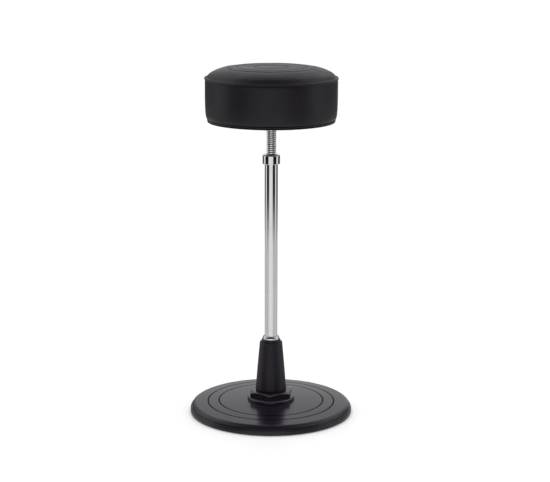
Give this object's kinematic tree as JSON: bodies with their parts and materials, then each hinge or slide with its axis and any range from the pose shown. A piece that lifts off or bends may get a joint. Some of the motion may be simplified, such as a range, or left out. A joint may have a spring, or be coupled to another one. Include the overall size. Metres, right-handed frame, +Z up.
{
  "type": "drum throne",
  "caption": "Round upholstered seat on a screw spindle that turns up out of a chrome column, on a weighted round base with a hexagonal foot and a cone cover.",
  "frame": {"origin": "on the floor at the centre of the round base, under the column", "axes": "+Z up along the column and the screw, -Y towards the front"},
  "size_m": [0.4, 0.4, 0.857],
  "materials": {
    "ring_rubber": "moulded rubber, matt",
    "base_cover_plastic": "black moulded cover, fine satin grain",
    "bottom_sheet_steel": "black-painted sheet",
    "zinc_screws": "bright zinc plate",
    "dark_screws": "black oxide",
    "weight_iron": "cast, primed",
    "socket_steel": "black paint",
    "hub_plastic": "black, satin gloss",
    "cone_plastic": "black, satin gloss",
    "gasket_rubber": "matt black",
    "chrome": "polished plate",
    "nut_steel": "turned",
    "nylon": "natural nylon",
    "spindle_steel": "rolled thread, bright plate, oiled",
    "spring_steel": "blued spring steel",
    "plate_paint": "black powder coat",
    "plywood": "birch plywood",
    "dust_cloth": "black non-woven cloth",
    "staple_steel": "galvanised wire",
    "trim_plastic": "black moulded trim",
    "piping_leather": "smooth black leatherette piping",
    "seat_leather": "smooth black leatherette, satin",
    "foam": "upholstery foam"
  },
  "bodies": {
    "base": {"edge_ring": "ring_rubber", "base_shell": "base_cover_plastic", "bottom_plate": "bottom_sheet_steel", "bottom_plate_screws": "zinc_screws", "base_weight": "weight_iron", "hub_socket": "socket_steel", "socket_grub_screws": "dark_screws", "hub_bolts": "zinc_screws", "hub_bolt_washers": "zinc_screws", "hex_foot": "hub_plastic", "cone_cover": "cone_plastic", "ferrule_gasket": "gasket_rubber", "ferrule": "chrome", "column_tube": "chrome", "spindle_nut": "nut_steel", "nut_grub_screws": "dark_screws", "wiper_ring": "nylon", "top_collar": "chrome", "collar_grub_screw": "dark_screws"},
    "guide": {"guide_bush": "nylon"},
    "seat": {"spindle": "spindle_steel", "stop_washer": "zinc_screws", "end_washer": "zinc_screws", "spindle_circlip": "spring_steel", "seat_plate": "plate_paint", "spindle_cross_pin": "spring_steel", "seat_plate_bolts": "zinc_screws", "seat_plate_washers": "zinc_screws", "tee_nuts": "zinc_screws", "seat_board": "plywood", "dust_cover": "dust_cloth", "cover_staples": "staple_steel", "seat_edge_trim": "trim_plastic", "seat_bottom_piping": "piping_leather", "seat_side_band": "seat_leather", "seat_foam": "foam", "seat_top_piping": "piping_leather", "seat_top_panel": "seat_leather"}
  },
  "joints": [
    {"name": "spindle_rise", "type": "slide", "parent": "base", "child": "guide", "axis": [0, 0, 1], "range_m": [-0.0605, 0.2005]},
    {"name": "seat_turn", "type": "hinge", "parent": "guide", "child": "seat", "pos_m": [0, 0, 0.4], "axis": [0, 0, 1], "range_deg": [-4320, 14400]}
  ],
  "couplings": [
    {"joint": "spindle_rise", "follows": "seat_turn", "m_per_rad": 0.00079577}
  ]
}
